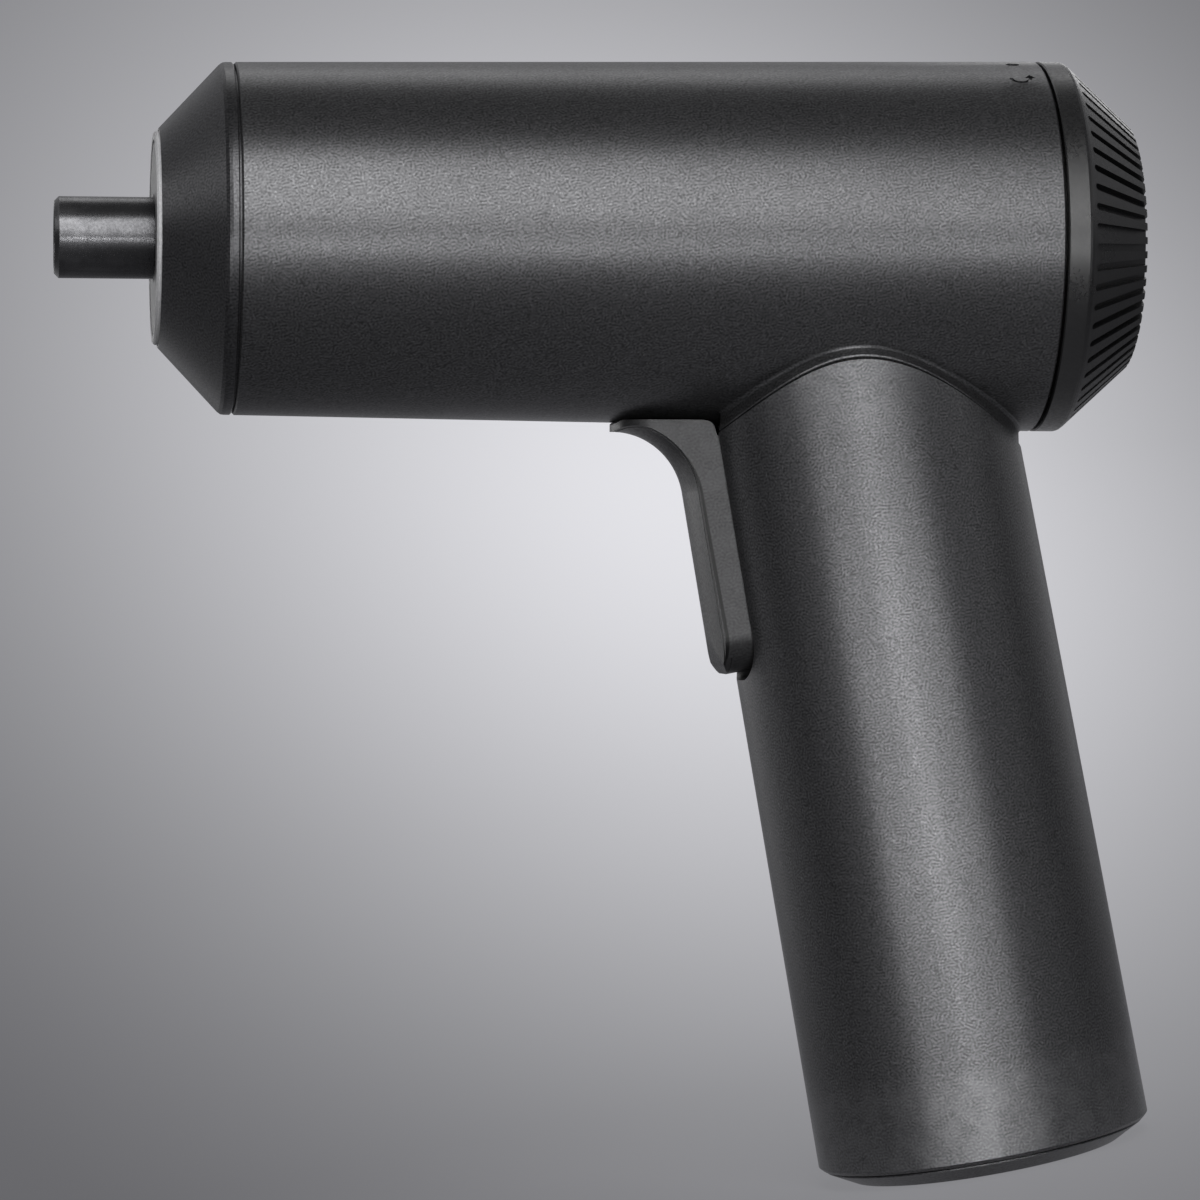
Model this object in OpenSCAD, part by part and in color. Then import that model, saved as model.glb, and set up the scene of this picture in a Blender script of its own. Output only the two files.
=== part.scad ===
// Pistol-grip electric screwdriver, standing on its base with the nose towards -X.
// Lengths are millimetres. Z = 0 is the flat underside of the base cap and the Z axis is the handle's own axis.
// Stations along the barrel count from where its axis crosses the handle's axis, positive to the rear.

/* [Barrel] */
// Angle by which the nose is raised above the horizontal
rake = 10.5; // [8:0.5:13]
// Height at which the barrel's axis crosses the handle's axis
axis_z = 113; // [112:0.5:114]
// Barrel diameter at the rear seam
rear_d = 45; // [44.6:0.1:45.6]
// Barrel diameter at the nose seam
front_d = 42.3; // [42.1:0.1:43]
// Station of the seam between the nose cone and the barrel
front_seam = -71.6; // [-73:0.1:-71]
// Width of the dark seams that part the nose cone and the selector cap from the barrel
rear_gap = 0.35; // [0.2:0.05:0.5]

/* [Nose] */
// Diameter of the nose cone's front edge
nose_front_d = 26.3; // [26:0.1:27]
// Length of the nose cone from the end of its band to its front edge
nose_len = 7.45; // [7.2:0.05:7.8]
// Outer diameter of the bit sleeve
sleeve_d = 9.8; // [9.7:0.1:10.2]
// Station of the sleeve's front end
sleeve_front = -93; // [-95:0.5:-91]
// Width across the flats of the bit socket
socket_af = 6.5; // [6.4:0.05:6.6]
// Depth of the bit socket
socket_depth = 12; // [10:0.5:12]

/* [Selector cap] */
// Station of the cap's rear face
cap_rear = 37.1; // [37:0.1:38]
// Diameter of the cap's rear face
cap_rear_d = 30.4; // [30:0.2:31]
// Number of grip grooves round the cap
groove_count = 56; // [40:1:60]
// Width of one grip groove
groove_w = 0.85; // [0.6:0.05:0.9]
// Depth of the grip grooves, square to the cone
groove_deep = 1.2; // [0.8:0.1:1.3]
// Turn of the cap from the locked middle to either direction of drive
cap_throw = 14; // [12:1:20]

/* [Handle] */
// Handle diameter at its lower edge
handle_low_d = 40.66; // [40.2:0.02:41]
// Handle diameter level with the top of the trigger
handle_top_d = 38.6; // [38.4:0.1:38.8]
// Wall thickness of the handle shell
handle_wall = 2; // [1.8:0.1:2]
// Radial height of the saddle seam's surface over the barrel
saddle_drop = 1; // [0.9:0.1:1.1]
// How far the axis of the saddle seam's surface lies below the barrel's axis
saddle_sink = 1.2; // [1.1:0.1:1.3]

/* [Trigger] */
// Width of the trigger
trigger_w = 14.4; // [14:0.1:14.6]
// Clearance of the trigger in its slot, on each side
trigger_gap = 0.4; // [0.3:0.05:0.5]

/* [Gears] */
// Gear module
gear_m = 0.55; // [0.54:0.005:0.55]

/* [View] */
// Piece to show, or all of them

/* [Hidden] */
$fn = 96;
RUN = 0.03;
SLIDE = 0.1;
rear_seam = 25.6;
shell_low_z = 2;
taper_top_z = 92;
handle_slope = (handle_low_d - handle_top_d) / 2 / (taper_top_z - shell_low_z);
barrel_slope = (rear_d - front_d) / 2 / (rear_seam - front_seam);

// teeth: both stages use one sun, planet and ring size
sun_teeth = 9;
planet_teeth = 21;
ring_teeth = 51;
pressure = 25;
centre_r = (sun_teeth + planet_teeth) * gear_m / 2;
planet_pin_r = 1.5;
flank_play = 0.03;

// gear train and motor: the ring gear sets the case, and the case the bore that it slides into
ring_r = ring_teeth * gear_m / 2 + 1.475;
key_r = 0.8;
case_r = ring_r + 3.3;
chamber_r = case_r + 0.2;
screw_pcd_r = case_r - 1.7;
motor_r = 12.2;
shaft_r = 1.15;
motor_boss_r = 5.2;

// stations of the gear train and motor
snout_front = -65.5;
cover_front = -52.5;
case_front = -49.5;
ring_front = -46.4;
plate_front = -29.5;
shoulder = -26.5;
shoulder_t = 3;
motor_rear = 0.5;

// stations of the two stages
out_disc = [-47.8, -45.2];
out_planets = [-44.9, -38.9];
first_disc = [-38.3, -36];
in_planets = [-35.7, -30.7];
washer_s = [-30.4, -29.5];

// spindle
sleeve_r = sleeve_d / 2;
journal_r = 4;
sleeve_step = -66.35;
drive_af = 6;
magnet_r = 2.5;
magnet_h = 3;

// nose
nose_band = -73.15;
nose_front = nose_band - nose_len;
nose_front_r = nose_front_d / 2;
ring_seat = nose_front + 1.95;
ring_out_r = nose_front_r - 0.35;
disc_front = nose_front - 0.5;
face_bore_r = sleeve_r + 0.25;
led_count = 6;

// selector
seat_front = 19.5;
seat_rear = 22;
rear_bore_r = rear_d / 2 - 3.2;
seat_step_r = rear_bore_r + 1;
hub_r = 5.2;
cap_band_end = 28.95;
cap_slope = atan((rear_d - cap_rear_d) / 2 / (cap_rear - cap_band_end));
cap_len = norm([cap_rear - cap_band_end, (rear_d - cap_rear_d) / 2]);
ball_r = 1.5;
track_r = seat_step_r - 7.3;
ball_s = 23.4;
seat_screw_r = rear_bore_r - 2.3;
disc_screw_r = seat_step_r - 4.8;
mark_s = 22.3;
mark_angle = 15;
mark_deep = 0.25;

// handle: its upper fittings hang from the barrel's underside, its front ones from the handle's wall
barrel_low_z = axis_z - rear_d / 2;
pivot_x = 7.8 - handle_top_d / 2;
pivot_z = barrel_low_z - 1.5;
pivot_pin_r = 1;
plate_z = [pivot_z - 7, pivot_z - 4];
neck_r_in = 16.6;
slot_w = trigger_w + 2 * trigger_gap;
battery_x = 4.8;
battery_r = 9.2;
battery_z = [7.6, plate_z[0] - 9.4];
frame_screw_x = 6;
frame_screw_y = 10.5;
board_x = pivot_x + 3.5;
drop_x = board_x + 1.7;
base_screw_y = 12.6;
window_x = 4;

// trigger outline: a concave arc from the tip that runs into a straight front
arc_x = pivot_x - 19.45;
arc_z = pivot_z - 2.5;
arc_r = 8.8;
crown_r = 25.2;
front_lean = 0.9;
trigger_low_z = pivot_z - 25.1;
trigger_corner_r = 4.5;
trigger_top = rear_d / 2 - 0.95;
tip_s = arc_x + 5.05;
pad_w = trigger_w - 1.3;
recess_x = pivot_x - 8.8;
pusher_x = pivot_x - 3.65;
pusher_r = 0.8;
spring_z = pivot_z - 19.5;
switch_z = pivot_z - 11;

function barrel_r(s) = front_d / 2 + (s - front_seam) * barrel_slope;
function handle_r(z) = handle_low_d / 2 - (z - shell_low_z) * handle_slope;
function involute(base, r) = let(a = acos(min(1, base / r))) tan(a) * 180 / PI - a;
function half_tooth(teeth, r, play) = let(pitch = teeth * gear_m / 2, base = pitch * cos(pressure))
    90 / teeth - play / pitch * 180 / PI + involute(base, pitch) - involute(base, max(r, base));

function station(p) = p[0] * cos(rake) + (axis_z - p[2]) * sin(rake);

// point of the saddle seam's surface under the barrel, above a place on the ground
function saddle_point(x, y, extra, s = 0, tries = 3) =
    let(r = barrel_r(s) + extra, z = axis_z - x * tan(rake) - (saddle_sink + sqrt(r * r - y * y)) / cos(rake))
    tries == 0 ? [x, y, z] : saddle_point(x, y, extra, station([x, y, z]), tries - 1);

// point of the neck's wall: a seam point moved square to the barrel to a height over it and splayed along it
function on_neck(p, height, splay) =
    let(s = station(p), foot = [s * cos(rake), 0, axis_z - s * sin(rake)], up = (p - foot) / norm(p - foot),
        away = [p[0], p[1], 0] / norm([p[0], p[1]]))
    foot + up * (barrel_r(s) + height) + (away - up * (away * up)) * splay;

// local z runs along the barrel's axis to the rear, local x points down
module on_barrel(s = 0) {
    translate([0, 0, axis_z])
        rotate([0, 90 + rake, 0])
            translate([0, 0, s])
                children();
}

module barrel_body(extra, s0, s1) {
    on_barrel(s0)
        cylinder(h = s1 - s0, r1 = barrel_r(s0) + extra, r2 = barrel_r(s1) + extra);
}

module handle_body(extra, z0, z1) {
    translate([0, 0, z0])
        cylinder(h = z1 - z0, r1 = handle_r(z0) + extra, r2 = handle_r(z1) + extra);
}

// surface that the saddle seam follows: the barrel's own taper, grown and sunk a little towards the handle
module saddle_body(extra, s0, s1) {
    on_barrel()
        translate([saddle_sink, 0, s0])
            cylinder(h = s1 - s0, r1 = barrel_r(s0) + extra, r2 = barrel_r(s1) + extra);
}

module tube(s0, s1, outer, inner) {
    translate([0, 0, s0])
        difference() {
            cylinder(h = s1 - s0, r = outer);
            translate([0, 0, -1])
                cylinder(h = s1 - s0 + 2, r = inner);
        }
}

module rod(s0, s1, r) {
    translate([0, 0, s0])
        cylinder(h = s1 - s0, r = r);
}

module block(x, y, z) {
    translate([x[0], y[0], z[0]])
        cube([x[1] - x[0], y[1] - y[0], z[1] - z[0]]);
}

module around(n, r, first = 0) {
    for (i = [0:n - 1])
        rotate([0, 0, first + i * 360 / n])
            translate([r, 0, 0])
                children();
}

// toothed outline with straight-sided steps along each involute flank
module gear_outline(teeth, tip, root, play, steps) {
    base = teeth * gear_m / 2 * cos(pressure);
    low = max(base, root);
    radii = [for (i = [0:steps]) low + (tip - low) * i / steps];
    points = [for (t = [0:teeth - 1]) each concat(
        root < base ? [[root, t * 360 / teeth - half_tooth(teeth, base, play)]] : [],
        [for (i = [0:steps]) [radii[i], t * 360 / teeth - half_tooth(teeth, radii[i], play)]],
        [for (i = [steps:-1:0]) [radii[i], t * 360 / teeth + half_tooth(teeth, radii[i], play)]],
        root < base ? [[root, t * 360 / teeth + half_tooth(teeth, base, play)]] : [])];
    polygon([for (p = points) p[0] * [cos(p[1]), sin(p[1])]]);
}

module planet(s) {
    pitch = planet_teeth * gear_m / 2;
    translate([centre_r, 0, s[0]])
        difference() {
            linear_extrude(s[1] - s[0])
                gear_outline(planet_teeth, pitch + 0.88 * gear_m, pitch - 1.2 * gear_m, flank_play, 3);
            translate([0, 0, -1])
                cylinder(h = s[1] - s[0] + 2, r = planet_pin_r + RUN, $fn = 48);
        }
}

module sun(s) {
    pitch = sun_teeth * gear_m / 2;
    translate([0, 0, s[0]])
        linear_extrude(s[1] - s[0])
            gear_outline(sun_teeth, pitch + gear_m, pitch - 1.2 * gear_m, flank_play, 3);
}

// machine screw along z: head from z = 0 to head_h, shank below it
module screw(r, length, head_r, head_h) {
    difference() {
        union() {
            cylinder(h = head_h, r = head_r, $fn = 48);
            translate([0, 0, -length])
                cylinder(h = length, r = r, $fn = 48);
        }
        for (a = [0, 90])
            rotate([0, 0, a])
                translate([-head_r * 0.6, -head_r * 0.13, head_h * 0.45])
                    cube([head_r * 1.2, head_r * 0.26, head_h]);
    }
}

// faces of a skin that joins rings of points, with flat ends
function skin(rings, sides) = concat(
    [for (i = [0:rings - 2], k = [0:sides - 1]) let(n = (k + 1) % sides)
        [i * sides + k, i * sides + n, (i + 1) * sides + n, (i + 1) * sides + k]],
    [[for (k = [sides - 1:-1:0]) k], [for (k = [0:sides - 1]) (rings - 1) * sides + k]]);

// round wire wound about z
module coil(mid_r, wire_r, length, turns) {
    per_turn = 20;
    sides = 8;
    steps = turns * per_turn;
    rise = length - 2 * wire_r;
    points = [for (i = [0:steps], k = [0:sides - 1]) let(a = i * 360 / per_turn, b = k * 360 / sides)
        [(mid_r + wire_r * cos(b)) * cos(a), (mid_r + wire_r * cos(b)) * sin(a),
            wire_r + rise * i / steps + wire_r * sin(b)]];
    polyhedron(points = points, faces = skin(steps + 1, sides), convexity = 10);
}

// insulated lead through a list of points, mitred at each of them
module lead(path, r) {
    sides = 12;
    last = len(path) - 1;
    dirs = [for (i = [0:last - 1]) (path[i + 1] - path[i]) / norm(path[i + 1] - path[i])];
    mitres = [for (i = [0:last]) dirs[max(i - 1, 0)] + dirs[min(i, last - 1)]];
    points = [for (i = [0:last], k = [0:sides - 1])
        let(d = dirs[max(i - 1, 0)], n = cross(d, [0, 1, 0]) / norm(cross(d, [0, 1, 0])), b = cross(n, d),
            o = r * (cos(k * 360 / sides) * n + sin(k * 360 / sides) * b))
        path[i] + o - d * (o * mitres[i]) / (d * mitres[i])];
    polyhedron(points = points, faces = skin(last + 1, sides), convexity = 10);
}

module barrel_shell() {
    rim = 0.2;
    boss_front = seat_front - 7;
    color("#4b4b4d") {
        difference() {
            union() {
                on_barrel()
                    rotate_extrude()
                        polygon([[0, front_seam], [barrel_r(front_seam) - rim, front_seam],
                            [barrel_r(front_seam + rim), front_seam + rim],
                            [barrel_r(rear_seam - rim), rear_seam - rim],
                            [barrel_r(rear_seam) - rim, rear_seam], [0, rear_seam]]);
                neck();
            }
            on_barrel() {
                rod(front_seam - 1, shoulder, chamber_r);
                rod(shoulder + shoulder_t, seat_front, rear_bore_r);
                rod(seat_front, rear_seam + 1, seat_step_r);
                rod(shoulder - 1, shoulder + shoulder_t + 1, motor_r + 0.4);
                tube(front_seam + 3.2, front_seam + 4.4, chamber_r + 0.25, chamber_r - 1);
                around(3, screw_pcd_r, 60)
                    rod(shoulder - 1, shoulder + shoulder_t + 1, 1);
                translate([motor_r + 2, -2.5, shoulder - 1])
                    cube([4.5, 5, shoulder_t + 2]);
                marks();
            }
            block([board_x + 0.4, window_x], [-5, 5], [plate_z[1] + 1, plate_z[1] + 15]);
        }
        on_barrel()
            intersection() {
                rod(boss_front, seat_front, rear_bore_r + 0.2);
                difference() {
                    around(3, seat_screw_r + 0.8)
                        rod(boss_front, seat_front, 2.8);
                    around(3, seat_screw_r)
                        rod(boss_front + 1, seat_front + 1, 0.85);
                }
            }
    }
}

// outside of the neck: it leaves the seam square to the barrel and ends in a small fillet on it
module neck_wall(low) {
    sides = 144;
    rim = 0.12;
    fillet = 0.5;
    r = handle_r(barrel_low_z) - 0.15;
    seam = [for (k = [0:sides - 1]) let(a = k * 360 / sides)
        saddle_point(r * cos(a), r * sin(a), saddle_drop - rim)];
    rings = concat(
        [[for (p = seam) [p[0], p[1], low]], seam],
        [for (a = [90:-30:0]) [for (p = seam) on_neck(p, fillet * (1 - cos(a)), fillet * (1 - sin(a)))]],
        [[for (p = seam) on_neck(p, -fillet, fillet)]]);
    last = len(rings) - 1;
    hub = len(rings) * sides;
    walls = [for (i = [0:last - 1], k = [0:sides - 1])
        let(m = (k + 1) % sides, b = i * sides, t = b + sides)
        each [[b + k, t + k, t + m], [b + k, t + m, b + m]]];
    top = [for (k = [0:sides - 1]) [last * sides + k, hub, last * sides + (k + 1) % sides]];
    bottom = [for (k = [0:sides - 1]) k];
    polyhedron(points = concat([for (ring = rings) each ring], [[0, 0, axis_z - 4]]),
        faces = concat(walls, top, [bottom]), convexity = 10);
}

// tubular neck under the barrel, cut to the saddle seam, with the two bosses that take the frame's screws
module neck() {
    low = plate_z[0] - 2;
    top = barrel_low_z + 13.5;
    difference() {
        intersection() {
            neck_wall(low);
            saddle_body(saddle_drop, -40, rear_seam - 0.2);
        }
        difference() {
            translate([0, 0, low - 10])
                cylinder(h = top - low + 10, r = neck_r_in);
            barrel_body(-1.5, -40, rear_seam);
        }
        difference() {
            block([-24, pivot_x + 2.5], [-slot_w / 2, slot_w / 2], [low, top]);
            barrel_body(-0.8, -40, rear_seam);
        }
    }
    difference() {
        for (y = [-frame_screw_y, frame_screw_y])
            translate([frame_screw_x, y, plate_z[1]])
                cylinder(h = 10, r = 3, $fn = 48);
        for (y = [-frame_screw_y, frame_screw_y])
            translate([frame_screw_x, y, plate_z[1] - 1])
                cylinder(h = 7, r = 1.1, $fn = 48);
    }
}

// engraved marks of the selector: a dot for the locked middle and a turning arrow on each side of it
module marks() {
    for (m = [-1, 0, 1])
        rotate([0, 0, mark_angle + m * cap_throw])
            translate([-barrel_r(mark_s) - 1, 0, mark_s])
                rotate([0, 90, 0])
                    linear_extrude(1 + mark_deep)
                        if (m == 0)
                            circle(r = 0.8, $fn = 48);
                        else
                            arrow_outline(m);
}

module arrow_outline(side) {
    difference() {
        circle(r = 1.4);
        circle(r = 0.95);
        translate([-2, 0])
            square([4, 3]);
    }
    translate([-side * 1.17, -0.05])
        polygon([[-0.65, 0], [0.65, 0], [0, 0.95]]);
}

module nose_cone() {
    flange = front_seam;
    shoulder_r = barrel_r(front_seam) - 0.85;
    wall = 1.9;
    color("#2b2b2d")
        on_barrel()
            rotate_extrude($fn = 128)
                polygon([[nose_front_r, nose_front], [barrel_r(nose_band) - 0.35, nose_band - 0.3],
                    [barrel_r(nose_band) - 0.06, nose_band + 0.1], [barrel_r(nose_band), nose_band + 0.5],
                    [barrel_r(front_seam) - 0.02, front_seam - 0.4], [barrel_r(front_seam) - 0.17, front_seam - 0.25],
                    [shoulder_r, front_seam - 0.25], [shoulder_r, flange], [chamber_r - SLIDE, flange],
                    [chamber_r - SLIDE, flange + 3.3], [chamber_r + 0.1, flange + 3.5],
                    [chamber_r + 0.1, flange + 4.1], [chamber_r - SLIDE, flange + 4.3],
                    [chamber_r - SLIDE, flange + 6], [chamber_r - wall, flange + 6],
                    [chamber_r - wall, flange - 1.6], [nose_front_r + 1.2, ring_seat + 1.2],
                    [13.8, ring_seat + 1.2], [13.8, ring_seat + 2.2], [12.3, ring_seat + 2.2],
                    [12.3, ring_seat + 0.9], [10.5, ring_seat + 0.9], [10.5, ring_seat],
                    [ring_out_r + SLIDE, ring_seat], [ring_out_r + SLIDE, nose_front]]);
}

module light_ring() {
    front = nose_front - 0.6;
    color("#d9d9dc")
        on_barrel()
            rotate_extrude($fn = 128)
                polygon([[6.2, ring_seat], [ring_out_r, ring_seat], [ring_out_r, front + 0.25],
                    [ring_out_r - 0.25, front], [11.8, front], [11.8, ring_seat - 0.8], [6.2, ring_seat - 0.8]]);
}

module face_disc() {
    color("#8f8f91")
        on_barrel()
            rotate_extrude($fn = 128)
                polygon([[face_bore_r, ring_seat - 0.8], [11.5, ring_seat - 0.8], [11.5, disc_front + 0.1],
                    [11.4, disc_front], [face_bore_r + 0.2, disc_front], [face_bore_r, disc_front + 0.2]]);
}

// round board behind the light ring with its lamps
module led_board() {
    front = ring_seat + 0.9;
    color("#1f5a3a")
        on_barrel()
            difference() {
                tube(front, front + 1, 12.2, 6.2);
                rotate([0, 0, 30])
                    around(2, 10.8)
                        rod(front - 1, front + 2, 0.6);
            }
    color("#f3ecd0")
        on_barrel()
            around(led_count, 9)
                translate([-0.8, -1, front - 0.8])
                    cube([1.6, 2, 0.81]);
}

module bit_spindle() {
    back = sleeve_front + socket_depth;
    color("#1d1d1f")
        on_barrel()
            difference() {
                union() {
                    rotate_extrude()
                        polygon([[0, sleeve_front], [sleeve_r - 0.55, sleeve_front], [sleeve_r, sleeve_front + 0.55],
                            [sleeve_r, disc_front - 0.1], [sleeve_r - 0.3, disc_front - 0.1],
                            [sleeve_r - 0.3, sleeve_step], [journal_r, sleeve_step], [journal_r, -55.3], [3.4, -55.3],
                            [3.4, -54.5], [journal_r, -54.5], [journal_r, -51.1], [0, -51.1]]);
                    translate([0, 0, -51.2])
                        cylinder(h = 5.6, r = drive_af / sqrt(3), $fn = 6);
                }
                translate([0, 0, sleeve_front - 1])
                    cylinder(h = socket_depth + 1, r = socket_af / sqrt(3), $fn = 6);
                translate([0, 0, sleeve_front - 0.01])
                    cylinder(h = 0.6, r1 = 4, r2 = 3.4);
                rod(back - 1, back + magnet_h, magnet_r);
            }
}

module bit_magnet() {
    back = sleeve_front + socket_depth;
    color("#c9ccd1")
        on_barrel()
            rod(back + 0.02, back + magnet_h, magnet_r);
}

module spindle_bush() {
    color("#a8763e")
        on_barrel()
            difference() {
                union() {
                    rod(snout_front, -55.5, 6);
                    rod(snout_front - 0.8, snout_front, 7.2);
                }
                rod(snout_front - 2, -50, journal_r + RUN);
            }
}

module spindle_clip() {
    color("#55585c")
        on_barrel(-55.25)
            linear_extrude(0.7)
                difference() {
                    circle(r = 5.6);
                    circle(r = 3.45);
                    translate([0, -2])
                        square([8, 4]);
                }
}

module gearbox_cover() {
    color("#3a3f45")
        on_barrel()
            difference() {
                union() {
                    rod(cover_front, case_front, case_r);
                    rod(snout_front, cover_front, 9);
                    for (a = [0:60:300])
                        rotate([0, 0, a + 30])
                            translate([0, -0.8, cover_front - 5])
                                cube([13.5, 1.6, 5.1]);
                }
                rod(snout_front - 1, -55.4, 6);
                rod(-55.41, case_front + 1, 6.5);
                around(3, screw_pcd_r, 60)
                    rod(cover_front - 1, case_front + 1, 1.1);
                lead_groove(cover_front - 6, case_front + 1);
            }
}

// groove along the lower side of the gearbox for the lamp's leads
module lead_groove(s0, s1) {
    translate([case_r - 1.6, -2, s0])
        cube([3, 4, s1 - s0]);
}

module gearbox_case() {
    color("#3a3f45")
        on_barrel()
            difference() {
                rod(case_front, plate_front, case_r);
                rod(case_front - 1, plate_front + 1, ring_r - 1.1);
                rod(ring_front, plate_front + 1, ring_r + 0.02);
                around(3, ring_r)
                    rod(ring_front, plate_front + 1, key_r + 0.05);
                around(3, screw_pcd_r, 60)
                    rod(case_front - 1, plate_front + 1, 1.1);
                around(12, case_r + 0.6, 15)
                    rod(case_front + 3, plate_front - 3, 1.4);
                lead_groove(case_front - 1, plate_front + 1);
            }
}

module ring_gear() {
    pitch = ring_teeth * gear_m / 2;
    color("#8d9096")
        on_barrel(ring_front)
            linear_extrude(plate_front - ring_front)
                difference() {
                    union() {
                        circle(r = ring_r);
                        around(3, ring_r)
                            circle(r = key_r, $fn = 48);
                    }
                    gear_outline(ring_teeth, pitch + 1.1 * gear_m, pitch - 0.85 * gear_m, -flank_play, 3);
                }
}

module output_carrier() {
    color("#6f7378")
        on_barrel()
            difference() {
                union() {
                    rod(out_disc[0], out_disc[1], 13);
                    rod(-51, out_disc[0], 5.8);
                }
                translate([0, 0, -52])
                    cylinder(h = 8, r = (drive_af + 0.1) / sqrt(3), $fn = 6);
                around(3, centre_r)
                    rod(out_disc[0] - 1, out_disc[1] + 1, planet_pin_r);
            }
}

module output_planets_a() {
    color("#b9a06a")
        on_barrel()
            planet(out_planets);
}

module output_planets_b() {
    color("#b9a06a")
        on_barrel()
            rotate([0, 0, 120])
                planet(out_planets);
}

module output_planets_c() {
    color("#b9a06a")
        on_barrel()
            rotate([0, 0, 240])
                planet(out_planets);
}

module output_pins() {
    color("#c2c5ca")
        on_barrel()
            around(3, centre_r)
                rod(out_disc[0], out_planets[1] - 0.2, planet_pin_r);
}

module first_carrier() {
    color("#6f7378")
        on_barrel() {
            difference() {
                rod(first_disc[0], first_disc[1], 13);
                around(3, centre_r)
                    rod(first_disc[0] - 1, first_disc[1] + 1, planet_pin_r);
            }
            sun([out_planets[0] + 0.1, first_disc[0]]);
        }
}

module input_planets_a() {
    color("#b9a06a")
        on_barrel()
            planet(in_planets);
}

module input_planets_b() {
    color("#b9a06a")
        on_barrel()
            rotate([0, 0, 120])
                planet(in_planets);
}

module input_planets_c() {
    color("#b9a06a")
        on_barrel()
            rotate([0, 0, 240])
                planet(in_planets);
}

module input_pins() {
    color("#c2c5ca")
        on_barrel()
            around(3, centre_r)
                rod(first_disc[0], in_planets[1] - 0.2, planet_pin_r);
}

module thrust_washer() {
    color("#b08a4a")
        on_barrel()
            tube(washer_s[0], washer_s[1], 13, 4);
}

module motor_pinion() {
    color("#c2c5ca")
        on_barrel()
            difference() {
                sun([in_planets[0] + 0.1, in_planets[1] - 0.1]);
                rod(in_planets[0] - 1, in_planets[1] + 1, shaft_r);
            }
}

module motor_plate() {
    color("#7b7f85")
        on_barrel()
            difference() {
                rod(plate_front, shoulder, case_r);
                rod(plate_front - 1, shoulder + 1, motor_boss_r + 0.05);
                around(3, screw_pcd_r, 60)
                    rod(plate_front - 1, shoulder + 1, 1.1);
                around(2, 8)
                    rod(plate_front - 1, shoulder + 1, 1.3);
                around(2, 8)
                    rod(plate_front - 1, plate_front + 1.5, 2.4);
                lead_groove(plate_front - 1, shoulder + 1);
            }
}

module motor_screws() {
    color("#8a8d92")
        on_barrel()
            around(2, 8)
                translate([0, 0, plate_front + 1.5])
                    mirror([0, 0, 1])
                        screw(1.2, 2.4, 2.2, 1.4);
}

module gearbox_screws() {
    color("#8a8d92")
        on_barrel()
            around(3, screw_pcd_r, 60)
                translate([0, 0, cover_front])
                    mirror([0, 0, 1])
                        screw(0.98, 28.5, 1.65, 1.3);
}

module motor_can() {
    color("#9da1a6")
        on_barrel()
            difference() {
                union() {
                    rod(shoulder, motor_rear, motor_r);
                    rod(shoulder - 2, shoulder, motor_boss_r);
                }
                rod(shoulder + 1, motor_rear + 1, motor_r - 0.8);
                rod(shoulder - 3, shoulder + 2, shaft_r + RUN);
                around(2, 8)
                    rod(shoulder - 3, shoulder + 2, 1.2);
            }
}

module motor_endbell() {
    color("#d8d5c8")
        on_barrel()
            difference() {
                union() {
                    rod(motor_rear, motor_rear + 3, motor_r - 0.2);
                    rod(motor_rear - 2, motor_rear, motor_r - 0.85);
                    rod(motor_rear + 3, motor_rear + 5.5, 4);
                }
                rod(motor_rear - 3, motor_rear + 1.2, 9.4);
                rod(motor_rear - 3, motor_rear + 4.6, shaft_r + RUN);
                for (y = [-8, 8])
                    translate([-1.55, y - 0.32, motor_rear - 3])
                        cube([3.1, 0.64, 8]);
            }
}

module motor_magnets() {
    color("#3b3b3d")
        on_barrel()
            difference() {
                tube(-21, -5, motor_r - 0.82, 9.2);
                for (a = [0, 180])
                    rotate([0, 0, a])
                        translate([-4, 0, -22])
                            cube([8, 14, 18]);
            }
}

module motor_armature() {
    color("#b06a35")
        on_barrel()
            difference() {
                union() {
                    rod(-20, -6, 8.7);
                    rod(-6, motor_rear - 2.5, 3);
                    rod(-22, -20, 6);
                }
                rod(-23, 1, shaft_r);
                for (a = [0:72:288])
                    rotate([0, 0, a])
                        translate([4.2, -0.9, -21])
                            cube([6, 1.8, 16]);
            }
}

module motor_shaft() {
    color("#d0d3d8")
        on_barrel()
            rod(in_planets[0] + 0.2, motor_rear + 4.5, shaft_r);
}

module motor_terminals() {
    color("#c9a24a")
        on_barrel()
            for (y = [-8, 8])
                difference() {
                    translate([-1.5, y - 0.3, motor_rear - 0.6])
                        cube([3, 0.6, 8]);
                    translate([0, y - 1, motor_rear + 5.6])
                        rotate([-90, 0, 0])
                            cylinder(h = 2, r = 0.7, $fn = 32);
                }
}

module selector_seat() {
    color("#3c3f43")
        on_barrel()
            difference() {
                union() {
                    rod(seat_front, seat_rear, seat_step_r - 0.1);
                    rod(seat_rear, seat_rear + 1.7, 8);
                    rotate([0, 0, 180])
                        translate([track_r, 0, 0])
                            rod(seat_front - 1.5, ball_s - 0.3, 3);
                    difference() {
                        rod(17.7, seat_front, 10.5);
                        rod(17, seat_front, 9);
                    }
                }
                rod(10, seat_rear + 3, hub_r + RUN);
                rotate([0, 0, 180])
                    translate([track_r, 0, 0])
                        rod(seat_front, ball_s + 1, ball_r + RUN);
                around(3, seat_screw_r)
                    rod(seat_front - 1, seat_rear + 1, 1.1);
                around(3, seat_screw_r)
                    rod(seat_rear - 0.9, seat_rear + 1, 1.9);
                rotate([0, 0, 30])
                    around(3, 13.5)
                        rod(seat_front - 1, seat_rear + 1, 1.7);
            }
}

module seat_screws() {
    color("#8a8d92")
        on_barrel()
            around(3, seat_screw_r)
                translate([0, 0, seat_rear - 0.9])
                    screw(0.85, 7, 1.7, 0.9);
}

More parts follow.
